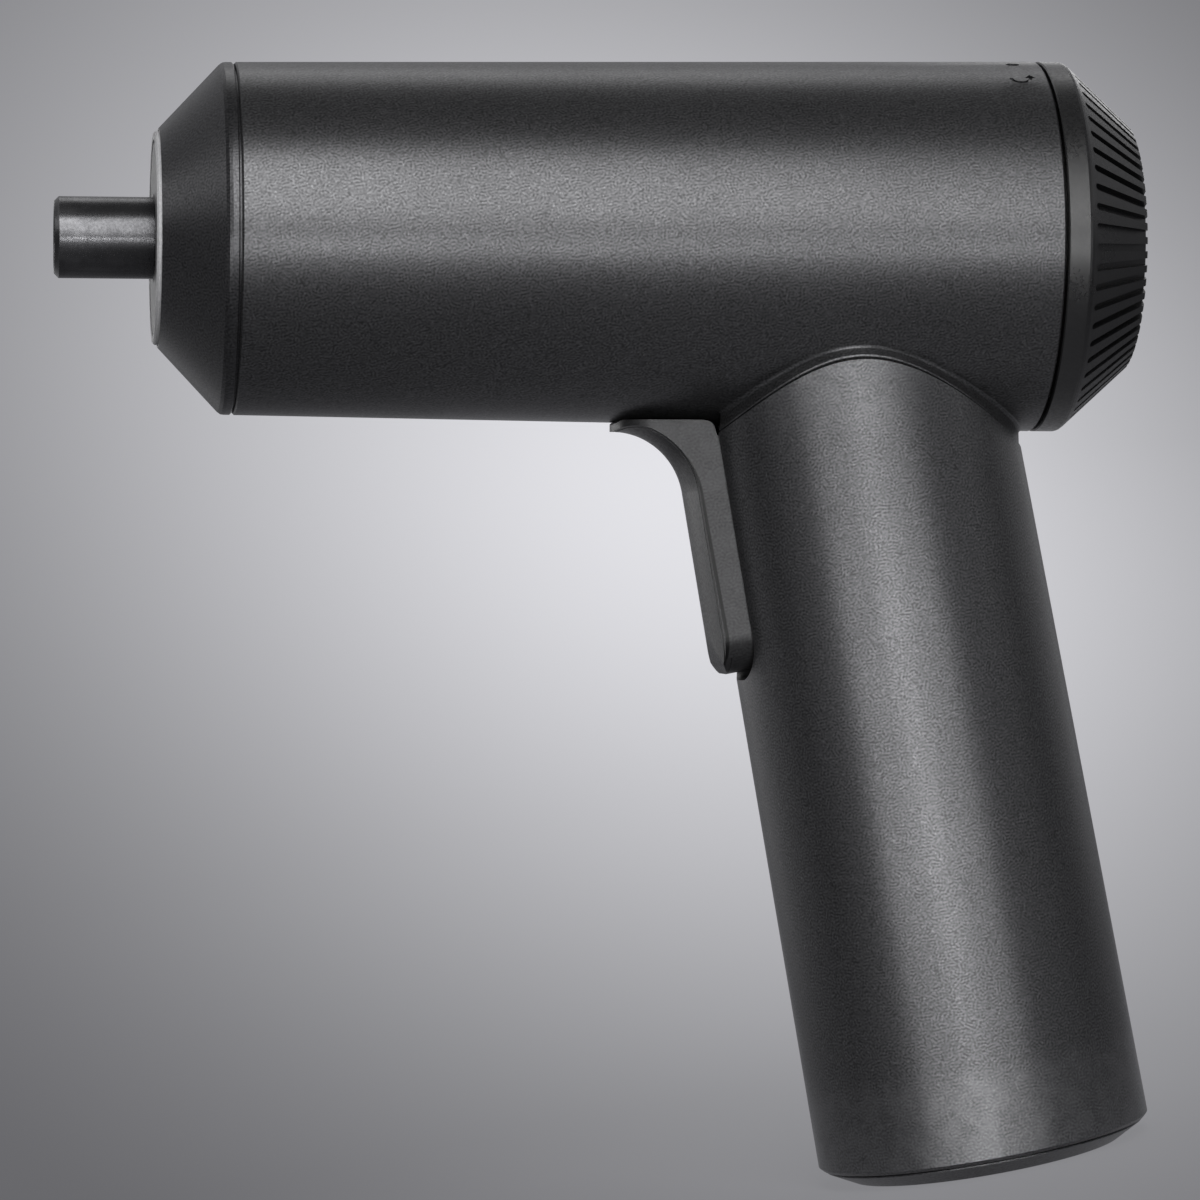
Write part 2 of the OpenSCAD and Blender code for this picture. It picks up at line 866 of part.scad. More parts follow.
module detent_ball() {
    color("#d5d8dc")
        on_barrel()
            rotate([0, 0, 180])
                translate([track_r, 0, ball_s])
                    sphere(r = ball_r, $fn = 64);
}

module detent_spring() {
    color("#b9bcc1")
        on_barrel()
            rotate([0, 0, 180])
                translate([track_r, 0, seat_front])
                    coil(1.05, 0.2, ball_s - ball_r * 0.72 - seat_front, 4);
}

// ribbed rotary cap: shell open to the front, skirt into the barrel and a hub through the seat
module selector_cap() {
    wall = 2.9;
    band = rear_seam + rear_gap;
    color("#1f1f21")
        on_barrel()
            difference() {
                union() {
                    rotate_extrude($fn = 180)
                        polygon([[hub_r, cap_rear - 2], [hub_r, cap_rear], [cap_rear_d / 2 - 0.5, cap_rear],
                            [cap_rear_d / 2 - 0.13, cap_rear - 0.13], [cap_rear_d / 2 + 0.2, cap_rear - 0.5],
                            [rear_d / 2 - 0.3, cap_band_end + 0.15], [rear_d / 2 - 0.08, cap_band_end - 0.15],
                            [rear_d / 2, cap_band_end - 0.45], [rear_d / 2, band + 0.15], [rear_d / 2 - 0.15, band],
                            [seat_step_r - 0.5, band], [seat_step_r - 0.5, seat_rear + 0.3],
                            [seat_step_r - 1.9, seat_rear + 0.3], [seat_step_r - 1.9, band + 0.6],
                            [rear_d / 2 - wall - 0.4, cap_band_end - 0.2], [cap_rear_d / 2 - 2.6, cap_rear - 2]]);
                    rod(14.2, cap_rear, hub_r);
                    around(2, disc_screw_r, 90)
                        rod(26.2, cap_rear - 5, 2.4);
                    for (a = [0:60:300])
                        rotate([0, 0, a])
                            translate([hub_r - 0.5, -0.7, cap_rear - 5])
                                cube([8, 1.4, 4]);
                }
                rod(14.9, 15.6, hub_r + 1);
                around(2, disc_screw_r, 90)
                    rod(25, cap_rear - 6, 0.8);
                grooves();
            }
    color("#1f1f21")
        on_barrel()
            rod(14.5, 16, hub_r - 0.8);
}

// grip grooves, each a slot with a round front end sunk square to the cone
module grooves() {
    slot_len = cap_len + 4;
    for (i = [0:groove_count - 1])
        rotate([0, 0, (i + 0.5) * 360 / groove_count])
            translate([rear_d / 2, 0, cap_band_end])
                rotate([0, -cap_slope, 0])
                    translate([-groove_deep, 0, 0])
                        rotate([0, 90, 0])
                            linear_extrude(groove_deep + 2) {
                                translate([-slot_len, -groove_w / 2])
                                    square([slot_len - 1.2, groove_w]);
                                translate([-1.2, 0])
                                    circle(r = groove_w / 2, $fn = 24);
                            }
}

module detent_disc() {
    color("#e4e1d6")
        on_barrel()
            difference() {
                tube(24.2, 26.2, seat_step_r - 2, 8.3);
                around(2, disc_screw_r, 90)
                    rod(24, 27, 0.95);
                around(2, disc_screw_r, 90)
                    rod(24, 25, 1.75);
                translate([0, 0, ball_s])
                    rotate([0, 0, 180 - cap_throw - 8])
                        rotate_extrude(angle = 2 * (cap_throw + 8))
                            translate([track_r, 0])
                                circle(r = ball_r + 0.06, $fn = 48);
                for (a = [-cap_throw, 0, cap_throw])
                    rotate([0, 0, 180 + a])
                        translate([track_r, 0, 24])
                            cylinder(h = 1.3, r = 0.7, $fn = 32);
            }
}

module detent_screws() {
    color("#8a8d92")
        on_barrel()
            around(2, disc_screw_r, 90)
                translate([0, 0, 25])
                    mirror([0, 0, 1])
                        screw(0.8, 5.5, 1.6, 0.75);
}

module selector_board() {
    color("#1f5a3a")
        on_barrel()
            difference() {
                tube(16.7, 17.7, 14.5, hub_r + 0.4);
                for (y = [-1, 1])
                    translate([12, y * 7, 16])
                        cylinder(h = 3, r = 0.9, $fn = 32);
            }
}

module selector_wiper() {
    color("#c9a24a")
        on_barrel()
            difference() {
                union() {
                    rod(16, 16.6, hub_r + 1.4);
                    rotate([0, 0, 180])
                        translate([0, -1.2, 16])
                            cube([8.6, 2.4, 0.6]);
                }
                rod(15, 17, hub_r + 0.01);
            }
}

module selector_clip() {
    color("#55585c")
        on_barrel(14.95)
            linear_extrude(0.6)
                difference() {
                    circle(r = hub_r + 1.4);
                    circle(r = hub_r - 0.75);
                    translate([0, -2.2])
                        square([8, 4.4]);
                }
}

module handle_shell() {
    seam = 0.25;
    color("#4b4b4d")
        difference() {
            union() {
                difference() {
                    handle_body(0, shell_low_z + 0.4, barrel_low_z + 13.5);
                    handle_body(-handle_wall, shell_low_z - 1, barrel_low_z + 14);
                }
                difference() {
                    translate([0, 0, shell_low_z])
                        cylinder(h = 0.41, r1 = handle_r(shell_low_z) - 0.4, r2 = handle_r(shell_low_z + 0.4));
                    translate([0, 0, shell_low_z - 1])
                        cylinder(h = 3, r = handle_r(shell_low_z) - handle_wall);
                }
                intersection() {
                    handle_body(-handle_wall + 0.5, 9, 58);
                    for (side = [-1, 1])
                        block([-1, 1], [min(side * 16.4, side * 19), max(side * 16.4, side * 19)], [9, 58]);
                }
            }
            saddle_body(saddle_drop + seam, -60, 60);
            trigger_slot();
        }
}

module trigger_slot() {
    low = trigger_low_z - 1.1;
    r = trigger_corner_r + trigger_gap;
    translate([-30, 0, 0])
        rotate([90, 0, 90])
            linear_extrude(22) {
                translate([-slot_w / 2, low + r])
                    square([slot_w, 50]);
                translate([-slot_w / 2 + r, low])
                    square([slot_w - 2 * r, r + 1]);
                for (side = [-1, 1])
                    translate([side * (slot_w / 2 - r), low + r])
                        circle(r = r);
            }
}

// battery cradle, board plate, top plate with the trigger's cheeks, and the foot that the base cap screws into
module inner_frame() {
    wall_x = [board_x + 2.2, battery_x - battery_r - 0.25];
    cheek_y = slot_w / 2;
    color("#5a5d60")
        difference() {
            union() {
                difference() {
                    translate([battery_x, 0, 5])
                        cylinder(h = plate_z[0] - 5, r = battery_r + 1.5);
                    translate([battery_x, 0, battery_z[0] - 0.6])
                        cylinder(h = battery_z[1] - battery_z[0] + 1.2, r = battery_r + 0.25);
                    block([battery_x + 4, 20], [-12, 12], [battery_z[0] - 0.6, battery_z[1] + 0.6]);
                }
                block(wall_x, [-12, 12], [5, plate_z[0]]);
                intersection() {
                    block([-10, 20], [-20, 20], plate_z);
                    handle_body(-handle_wall - 0.15, plate_z[0] - 1, plate_z[1] + 1);
                }
                intersection() {
                    block([wall_x[0], 20], [-20, 20], [5, battery_z[0] - 0.6]);
                    handle_body(-handle_wall - 0.15, 2, 30);
                }
                for (side = [-1, 1])
                    mirror([0, side - 1, 0])
                        block([wall_x[0] + 0.8, battery_x], [battery_r + 0.6, 17], [34, 36]);
                for (side = [-1, 1])
                    mirror([0, side - 1, 0])
                        block([pivot_x - 1.8, wall_x[0] - 0.2], [cheek_y, cheek_y + 2], [plate_z[0], pivot_z + 3]);
                for (side = [-1, 1])
                    translate([battery_x, side * base_screw_y, 5])
                        cylinder(h = 9, r = 3, $fn = 48);
                translate([pivot_x + 1, 0, spring_z])
                    rotate([0, 90, 0])
                        cylinder(h = 5, r = 3.4, $fn = 48);
                translate([pivot_x - 1, 0, spring_z])
                    rotate([0, 90, 0])
                        cylinder(h = 3, r = 1.5, $fn = 48);
                for (z = [plate_z[0] - 30, plate_z[0]])
                    for (side = [-1, 1])
                        block([board_x + 1.2, wall_x[0]], [side * 7 - 1.5, side * 7 + 1.5], [z - 2, z]);
                for (z = [9, 22])
                    for (side = [-1, 1])
                        block([board_x, wall_x[0]], [side * 6 - 1.5, side * 6 + 1.5], [z, z + 2]);
            }
            for (side = [-1, 1])
                translate([frame_screw_x, side * frame_screw_y, plate_z[0] - 12])
                    cylinder(h = 20, r = 1.3, $fn = 48);
            for (side = [-1, 1])
                translate([frame_screw_x, side * frame_screw_y, plate_z[0] - 12])
                    cylinder(h = 12, r = 2.5, $fn = 48);
            translate([pivot_x, 0, pivot_z])
                rotate([90, 0, 0])
                    cylinder(h = 24, r = pivot_pin_r, center = true, $fn = 48);
            for (side = [-1, 1])
                translate([battery_x, side * base_screw_y, 4])
                    cylinder(h = 9, r = 1, $fn = 48);
            for (side = [-1, 1])
                mirror([0, side - 1, 0])
                    block([-1.4, 1.4], [15.9, 20], [0, 60]);
            block([board_x + 0.4, window_x], [-5, 5], [plate_z[0] - 0.1, plate_z[1] + 1]);
            block([-2, battery_x + 8.5], [-7, 7], [battery_z[1] + 2.6, plate_z[1] + 1]);
        }
}

module frame_screws() {
    color("#8a8d92")
        for (side = [-1, 1])
            translate([frame_screw_x, side * frame_screw_y, plate_z[0]])
                mirror([0, 0, 1])
                    screw(1.05, 8.6, 2.2, 1.6);
}

module battery_cell() {
    color("#2f6fae")
        translate([battery_x, 0, battery_z[0]]) {
            cylinder(h = battery_z[1] - battery_z[0] - 1.2, r = battery_r);
            cylinder(h = battery_z[1] - battery_z[0], r = 3.2, $fn = 48);
        }
}

module battery_contacts() {
    color("#c5c8cd") {
        difference() {
            translate([battery_x, 0, battery_z[1]])
                cylinder(h = 0.6, r = 4.5, $fn = 48);
            translate([battery_x + 5, 0, battery_z[1] - 1])
                cylinder(h = 3, r = 1, $fn = 32);
        }
        translate([battery_x, 0, battery_z[0] - 0.6])
            cylinder(h = 0.6, r = 6, $fn = 48);
    }
}

module control_board() {
    low = plate_z[0] - 32;
    color("#1f5a3a")
        difference() {
            block([board_x, board_x + 1.2], [-9, 9], [low, plate_z[0] - 0.3]);
            translate([board_x - 1, 0, spring_z])
                rotate([0, 90, 0])
                    cylinder(h = 4, r = 3.7, $fn = 48);
        }
    color("#2a2c30") {
        for (side = [-1, 1])
            block([board_x - 1.2, board_x + 0.01], [side * 5.5 - 2, side * 5.5 + 2], [low + 4, low + 9]);
        block([board_x - 1.6, board_x + 0.01], [-2.5, 2.5], [low + 10.5, low + 14]);
    }
}

module micro_switch() {
    color("#2c3036")
        difference() {
            block([board_x - 4.3, board_x], [-3, 3], [switch_z - 3.2, switch_z + 3.2]);
            block([board_x - 5, board_x - 2], [-1.03, 1.03], [switch_z - 0.53, switch_z + 0.53]);
        }
}

module switch_plunger() {
    color("#c0392b")
        block([pusher_x + pusher_r + 0.05, board_x - 3.2], [-1, 1], [switch_z - 0.5, switch_z + 0.5]);
}

// side outline of the trigger before its front is hollowed
module trigger_side() {
    translate([pivot_x, pivot_z]) {
        polygon([[-20.5, 10], [-20.5, -27.1], [-4.1, -27.1], [-4.1, -4.5], [-1, -2.07], [0, 0], [-0.4, 2.26],
            [-5.5, 3.5], [-6.4, 3.5], [-6.5, 4.4], [-6.6, 4.9], [-6.85, 5.25], [-7.2, 5.45], [-7.7, 5.6], [-8.5, 10]]);
        circle(r = 2.3);
    }
}

// front view: straight sides and a round lower end
module trigger_face(w, low) {
    r = trigger_corner_r - (trigger_w - w) / 2;
    translate([-w / 2, low + r])
        square([w, 50]);
    translate([-w / 2 + r, low])
        square([w - 2 * r, r + 1]);
    for (side = [-1, 1])
        translate([side * (w / 2 - r), low + r])
            circle(r = r);
}

// plan of the tip seen square to the barrel: a wide nose arc with round shoulders
module trigger_plan(w) {
    big = 14;
    shoulder_y = 3 - (trigger_w - w) / 2 * 0.4;
    shoulder_r = w / 2 - shoulder_y;
    front = tip_s + (trigger_w - w) / 2;
    mid = front + big;
    shoulder_s = mid - sqrt((big - shoulder_r) * (big - shoulder_r) - shoulder_y * shoulder_y);
    join_y = shoulder_y * big / (big - shoulder_r);
    translate([shoulder_s, -w / 2])
        square([40, w]);
    for (side = [-1, 1])
        translate([shoulder_s, side * shoulder_y])
            circle(r = shoulder_r);
    intersection() {
        translate([mid, 0])
            circle(r = big);
        translate([front - 1, -join_y])
            square([shoulder_s - front + 2, 2 * join_y]);
    }
}

// everything in front of the trigger's face: a spool round the concave arc, then a leaning hollow below it
module trigger_front(inset) {
    translate([arc_x, 0, arc_z])
        rotate([0, front_lean, 0]) {
            rotate([90, 0, 0])
                rotate_extrude()
                    difference() {
                        translate([0, -12])
                            square([12, 24]);
                        translate([arc_r + inset + crown_r, 0])
                            circle(r = crown_r);
                    }
            difference() {
                translate([-10, -12, -40])
                    cube([22, 24, 40]);
                translate([arc_r + inset + crown_r, 0, -41])
                    cylinder(h = 42, r = crown_r);
            }
        }
}

module trigger_blank(w, inset) {
    low_r = 13;
    low_x = pivot_x - 10.9 + low_r;
    low_z = trigger_low_z + 5.1;
    intersection() {
        difference() {
            rotate([90, 0, 0])
                translate([0, 0, -w / 2])
                    linear_extrude(w)
                        trigger_side();
            trigger_front(inset);
        }
        translate([-40, 0, 0])
            rotate([90, 0, 90])
                linear_extrude(40)
                    trigger_face(w, trigger_low_z + inset);
        translate([0, 0, axis_z])
            rotate([0, rake, 0])
                translate([0, 0, -60])
                    linear_extrude(60 - trigger_top)
                        trigger_plan(w);
        union() {
            translate([low_x + inset, 30, low_z])
                rotate([90, 0, 0])
                    cylinder(h = 60, r = low_r);
            block([-40, 10], [-30, 30], [low_z, low_z + 45]);
            block([low_x, 10], [-30, 30], [low_z - 19, low_z + 1]);
        }
    }
}

module trigger() {
    color("#444446")
        difference() {
            trigger_blank(trigger_w, 0);
            barrel_body(0.3, -60, 60);
            difference() {
                block([recess_x, pivot_x + 1.5], [-5.5, 5.5], [trigger_low_z + 2.5, pivot_z - 5]);
                block([recess_x - 0.1, recess_x + 0.7], [-3, 3], [spring_z - 3, spring_z + 3]);
            }
            translate([pivot_x, 0, pivot_z])
                rotate([90, 0, 0])
                    cylinder(h = 24, r = pivot_pin_r + 0.05, center = true, $fn = 48);
            pad_groove();
        }
    color("#444446") {
        block([recess_x - 0.1, pusher_x], [-1.6, 1.6], [switch_z - 1.2, switch_z + 1.2]);
        translate([pusher_x, 0, switch_z])
            rotate([90, 0, 0])
                cylinder(h = 3.2, r = pusher_r, center = true, $fn = 48);
    }
}

// seat of the smooth front strip, cut a little wider than the strip so that a fine groove shows round it
module pad_groove() {
    difference() {
        trigger_blank(pad_w + 0.36, -0.5);
        trigger_front_keep();
    }
}

module trigger_front_keep() {
    difference() {
        block([-60, 0], [-20, 20], [trigger_low_z - 20, barrel_low_z + 30]);
        trigger_front(0.9);
    }
}

module trigger_pad() {
    color("#39393b")
        difference() {
            intersection() {
                trigger_blank(pad_w, 0);
                trigger_front(0.9);
            }
            barrel_body(0.3, -60, 60);
        }
}

module trigger_pin() {
    color("#c2c5ca")
        translate([pivot_x, 0, pivot_z])
            rotate([90, 0, 0])
                cylinder(h = 19.2, r = pivot_pin_r, center = true, $fn = 48);
}

module trigger_spring() {
    color("#b9bcc1")
        translate([recess_x + 0.7, 0, spring_z])
            rotate([0, 90, 0])
                coil(2.2, 0.3, 9.1, 6);
}

module charge_board() {
    color("#1f5a3a")
        block([board_x - 1.2, board_x], [-9, 9], [6, 26]);
}

module charge_port() {
    color("#c5c8cd")
        difference() {
            port_outline(1, 8.3, 0);
            port_outline(0.5, 7.3, 0.35);
        }
    color("#2a2c30")
        block([board_x - 2.95, board_x - 2.25], [-3.3, 3.3], [2.2, 8]);
}

module port_outline(z0, z1, inset) {
    mid_x = board_x - 1.2 - 1.63;
    r = 1.63 - inset;
    translate([0, 0, z0])
        linear_extrude(z1 - z0)
            union() {
                translate([mid_x - r, -2.84])
                    square([2 * r, 5.68]);
                for (y = [-2.84, 2.84])
                    translate([mid_x, y])
                        circle(r = r, $fn = 48);
            }
}

module base_cap() {
    spigot_r = handle_r(shell_low_z) - handle_wall - 0.2;
    color("#262628")
        difference() {
            union() {
                rotate_extrude($fn = 128)
                    polygon([[0, 0], [16.45, 0], [19.5, 1.65], [19.5, shell_low_z - 0.2],
                        [spigot_r, shell_low_z - 0.2], [spigot_r, 5], [spigot_r - 1.6, 5], [spigot_r - 1.6, 2.4],
                        [0, 2.4]]);
                for (side = [-1, 1])
                    translate([battery_x, side * base_screw_y, 2.2])
                        cylinder(h = 2.8, r = 3, $fn = 48);
            }
            port_outline(-1, 4, -0.25);
            for (side = [-1, 1])
                translate([battery_x, side * base_screw_y, -1]) {
                    cylinder(h = 7, r = 1.2, $fn = 48);
                    cylinder(h = 3.6, r = 2.1, $fn = 48);
                }
        }
}

module base_screws() {
    color("#8a8d92")
        for (side = [-1, 1])
            translate([battery_x, side * base_screw_y, 2.6])
                mirror([0, 0, 1])
                    screw(0.98, 9.4, 1.95, 1.6);
}

// two leads from the motor and two from the lamps, down to the rear of the control board
module lead_wires() {
    motor_run = 17;
    lamp_run = case_r - 0.7;
    color("#a03a2c")
        for (side = [-1, 1]) {
            lead([at_barrel(0, side * 8, 7.9), at_barrel(0, side * 8, 9.6), at_barrel(motor_run - 2.5, side * 3, 9.6),
                at_barrel(motor_run, side * 3, 7.5), at_barrel(motor_run, side * 3, on_drop(motor_run)),
                [drop_x, side * 3, plate_z[0] - 3]], 0.45);
            lead([at_barrel(11.2, side * 0.6, ring_seat + 1.9), at_barrel(11.2, side * 0.6, ring_seat + 3),
                at_barrel(lamp_run - 2, side * 0.6, ring_seat + 8),
                at_barrel(lamp_run - 2, side * 0.6, front_seam + 7),
                at_barrel(lamp_run, side * 0.6, front_seam + 11),
                at_barrel(lamp_run, side * 0.6, on_drop(lamp_run)),
                [drop_x, side * 0.6, plate_z[0] - 3]], 0.45);
        }
}

function at_barrel(x, y, s) = [s * cos(rake) - x * sin(rake), y, axis_z - x * cos(rake) - s * sin(rake)];
function on_drop(x) = (drop_x + x * sin(rake)) / cos(rake);

barrel_shell();
nose_cone();
light_ring();
face_disc();
led_board();
bit_spindle();
bit_magnet();
spindle_bush();
spindle_clip();
gearbox_cover();
gearbox_case();
ring_gear();
output_carrier();
output_planets_a();
output_planets_b();
output_planets_c();
output_pins();
first_carrier();
input_planets_a();
input_planets_b();
input_planets_c();
input_pins();
thrust_washer();
motor_pinion();
motor_plate();
motor_screws();
gearbox_screws();
motor_can();
motor_endbell();
motor_magnets();
motor_armature();
motor_shaft();
motor_terminals();
selector_seat();
seat_screws();
detent_ball();
detent_spring();
selector_cap();
detent_disc();
detent_screws();
selector_board();
selector_wiper();
selector_clip();
handle_shell();
inner_frame();
frame_screws();
battery_cell();
battery_contacts();
control_board();
micro_switch();
switch_plunger();
trigger();
trigger_pad();
trigger_pin();
trigger_spring();
charge_board();
charge_port();
base_cap();
base_screws();
lead_wires();
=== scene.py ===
import bpy, bmesh, math
from mathutils import Matrix, Vector


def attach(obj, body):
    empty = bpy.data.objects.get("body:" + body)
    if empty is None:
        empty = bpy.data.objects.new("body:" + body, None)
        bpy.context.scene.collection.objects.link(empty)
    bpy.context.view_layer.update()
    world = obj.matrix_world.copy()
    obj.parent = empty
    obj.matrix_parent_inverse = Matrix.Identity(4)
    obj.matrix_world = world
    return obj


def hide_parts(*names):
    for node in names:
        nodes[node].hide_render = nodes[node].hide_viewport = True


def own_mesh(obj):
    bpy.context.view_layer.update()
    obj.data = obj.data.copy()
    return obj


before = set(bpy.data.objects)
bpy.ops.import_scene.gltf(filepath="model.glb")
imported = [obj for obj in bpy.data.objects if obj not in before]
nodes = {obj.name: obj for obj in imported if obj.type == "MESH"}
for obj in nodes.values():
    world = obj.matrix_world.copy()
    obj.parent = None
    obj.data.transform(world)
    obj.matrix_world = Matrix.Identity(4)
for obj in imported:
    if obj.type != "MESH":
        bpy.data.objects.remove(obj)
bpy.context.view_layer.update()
scene = bpy.context.scene
print("frame loaded:", len(nodes), "nodes")

# camera

cameraSet = {"lens": 167.276, "sensor": 36, "near": 0.01, "far": 12, "place": (-0.112916, -0.670134, 0.093373),
             "turn": ((0.9768088, 0.1798745, -0.1161451), (-0.1190352, 0.0053205, -0.9928758),
                      (-0.1779751, 0.9836752, 0.0266085))}

cameraData = bpy.data.cameras.new("camera")
camera = bpy.data.objects.new("camera", cameraData)
scene.collection.objects.link(camera)
cameraData.lens = cameraSet["lens"]
cameraData.sensor_width = cameraSet["sensor"]
cameraData.clip_start = cameraSet["near"]
cameraData.clip_end = cameraSet["far"]
camera.matrix_world = Matrix.Translation(cameraSet["place"]) @ Matrix(cameraSet["turn"]).to_4x4()
scene.camera = camera
scene.view_settings.view_transform = "Standard"
print("camera placed")

# node tree helpers


# another node's output is linked, a plain number or colour is set
def feed(tree, socket, value):
    if isinstance(value, bpy.types.NodeSocket):
        tree.links.new(value, socket)
    else:
        socket.default_value = value


def addNode(tree, kind, inputs=None, **settings):
    node = tree.nodes.new(kind)
    for name, value in settings.items():
        setattr(node, name, value)
    for name, value in (inputs or {}).items():
        feed(tree, node.inputs[name], value)
    return node


def addMath(tree, operation, first, second=0.5):
    return addNode(tree, "ShaderNodeMath", {0: first, 1: second}, operation=operation).outputs[0]


def addRange(tree, value, low, high, newLow=0.0, newHigh=1.0, smooth=True):
    return addNode(tree, "ShaderNodeMapRange",
                   {"Value": value, "From Min": low, "From Max": high, "To Min": newLow, "To Max": newHigh},
                   interpolation_type="SMOOTHSTEP" if smooth else "LINEAR").outputs["Result"]


def addMix(tree, share, first, second):
    node = addNode(tree, "ShaderNodeMix", {0: share}, data_type="RGBA")
    for place, colour in ((6, first), (7, second)):  # the colour sockets; a plain colour gets its alpha
        feed(tree, node.inputs[place], (*colour, 1.0) if isinstance(colour, tuple) else colour)
    return node.outputs[2]


def scalePoint(tree, point, scale):
    return addNode(tree, "ShaderNodeVectorMath", {"Vector": point, "Scale": scale}, operation="SCALE").outputs["Vector"]


def newGroup(name, inputs, outputs):
    group = bpy.data.node_groups.new(name, "ShaderNodeTree")
    for label, kind, value in inputs:
        socket = group.interface.new_socket(label, in_out="INPUT", socket_type=kind)
        if value is not None:
            socket.default_value = value
    for label, kind in outputs:
        group.interface.new_socket(label, in_out="OUTPUT", socket_type=kind)
    return group, group.nodes.new("NodeGroupInput").outputs, group.nodes.new("NodeGroupOutput").inputs


def useGroup(tree, group, **inputs):
    node = tree.nodes.new("ShaderNodeGroup")
    node.node_tree = group
    for label, value in inputs.items():
        feed(tree, node.inputs[label], value)
    return node.outputs


grainSet = {"scale": 0.9, "detail": 2.0, "rough": 0.6, "tone": (0.3, 0.7), "speck": 0.75, "fleck": (0.66, 0.74)}


# fine moulded grain: soft grains with finer ones over them, and a few bright flecks that are painted sparkle glints
def buildMouldGrain(values):
    group, given, out = newGroup(
        "mouldGrain",
        [("Point", "NodeSocketVector", None), ("Size", "NodeSocketFloat", 0.0004)],
        [("Height", "NodeSocketFloat"), ("Tone", "NodeSocketFloat"), ("SparkleFleck", "NodeSocketFloat")])
    point = scalePoint(group, given["Point"], addMath(group, "DIVIDE", 1.0, given["Size"]))
    grains = addNode(group, "ShaderNodeTexNoise", {"Vector": point, "Scale": values["scale"],
                                                   "Detail": values["detail"], "Roughness": values["rough"]})
    tone = addRange(group, grains.outputs["Fac"], *values["tone"])
    speck = addNode(group, "ShaderNodeTexNoise", {"Vector": point, "Scale": values["speck"], "Detail": 0.0})
    group.links.new(grains.outputs["Fac"], out["Height"])
    group.links.new(tone, out["Tone"])
    fleck = addRange(group, speck.outputs["Fac"], *values["fleck"])
    group.links.new(addMath(group, "MULTIPLY", fleck, tone), out["SparkleFleck"])
    return group


mazeSet = {"zoom": 0.5, "waves": 2.0, "oneWay": 0.0, "tone": (0.2, 0.8)}


# maze of worm-like lines, all of one width, in the tone of the housings
def buildMazeGrain(values):
    group, given, out = newGroup(
        "mazeGrain",
        [("Point", "NodeSocketVector", None), ("Size", "NodeSocketFloat", 0.0004)],
        [("Tone", "NodeSocketFloat")])
    point = scalePoint(group, given["Point"], addMath(group, "DIVIDE", values["zoom"], given["Size"]))
    maze = addNode(group, "ShaderNodeTexGabor", {"Vector": point, "Scale": 1.0, "Frequency": values["waves"],
                                                 "Anisotropy": values["oneWay"]}, gabor_type="3D")
    group.links.new(addRange(group, maze.outputs["Value"], *values["tone"]), out["Tone"])
    return group


lineSet = {"detail": 3.0, "rough": 0.65, "cloud": 0.05, "cloudDetail": 2.0, "lineShare": 0.7, "cloudShare": 0.3}


# cutter or polishing lines along the axes with the small Stretch, with a slow cloud over them
def buildToolLines(values):
    group, given, out = newGroup(
        "toolLines",
        [("Point", "NodeSocketVector", None), ("Pitch", "NodeSocketFloat", 0.0002),
         ("Stretch", "NodeSocketVector", (1.0, 0.05, 0.05))],
        [("Height", "NodeSocketFloat"), ("Tone", "NodeSocketFloat")])
    point = scalePoint(group, given["Point"], addMath(group, "DIVIDE", 1.0, given["Pitch"]))
    stretched = addNode(group, "ShaderNodeVectorMath", {0: point, 1: given["Stretch"]}, operation="MULTIPLY")
    lines = addNode(group, "ShaderNodeTexNoise", {"Vector": stretched.outputs["Vector"], "Scale": 1.0,
                                                  "Detail": values["detail"], "Roughness": values["rough"]})
    cloud = addNode(group, "ShaderNodeTexNoise", {"Vector": point, "Scale": values["cloud"],
                                                  "Detail": values["cloudDetail"]})
    group.links.new(lines.outputs["Fac"], out["Height"])
    lineTone = addMath(group, "MULTIPLY", lines.outputs["Fac"], values["lineShare"])
    cloudTone = addMath(group, "MULTIPLY", cloud.outputs["Fac"], values["cloudShare"])
    group.links.new(addMath(group, "ADD", lineTone, cloudTone), out["Tone"])
    return group


rubSet = {"cloud": 420.0, "detail": 3.0, "broken": (0.38, 0.62, 0.35, 1.0)}


# edges rubbed by hands and bags: convex edges, broken up by a cloud
def buildEdgeRub(values):
    group, given, out = newGroup(
        "edgeRub",
        [("Point", "NodeSocketVector", None), ("Start", "NodeSocketFloat", 0.53), ("Full", "NodeSocketFloat", 0.62)],
        [("Mask", "NodeSocketFloat")])
    shape = addNode(group, "ShaderNodeNewGeometry")
    convex = addRange(group, shape.outputs["Pointiness"], given["Start"], given["Full"])
    cloud = addNode(group, "ShaderNodeTexNoise", {"Vector": given["Point"], "Scale": values["cloud"],
                                                  "Detail": values["detail"]})
    broken = addRange(group, cloud.outputs["Fac"], *values["broken"])
    group.links.new(addMath(group, "MULTIPLY", convex, broken), out["Mask"])
    return group


filmSet = {"detail": 4.0, "rough": 0.55, "swirl": 0.3, "tone": (0.3, 0.7)}


# faint handling film: large soft patches that change the gloss
def buildHandFilm(values):
    group, given, out = newGroup(
        "handFilm",
        [("Point", "NodeSocketVector", None), ("Size", "NodeSocketFloat", 0.02)],
        [("Mask", "NodeSocketFloat")])
    point = scalePoint(group, given["Point"], addMath(group, "DIVIDE", 1.0, given["Size"]))
    cloud = addNode(group, "ShaderNodeTexNoise", {"Vector": point, "Scale": 1.0, "Detail": values["detail"],
                                                  "Roughness": values["rough"], "Distortion": values["swirl"]})
    group.links.new(addRange(group, cloud.outputs["Fac"], *values["tone"]), out["Mask"])
    return group


mouldGrain = buildMouldGrain(grainSet)
mazeGrain = buildMazeGrain(mazeSet)
toolLines = buildToolLines(lineSet)
edgeRub = buildEdgeRub(rubSet)
handFilm = buildHandFilm(filmSet)
print("shader groups built")

# finishes


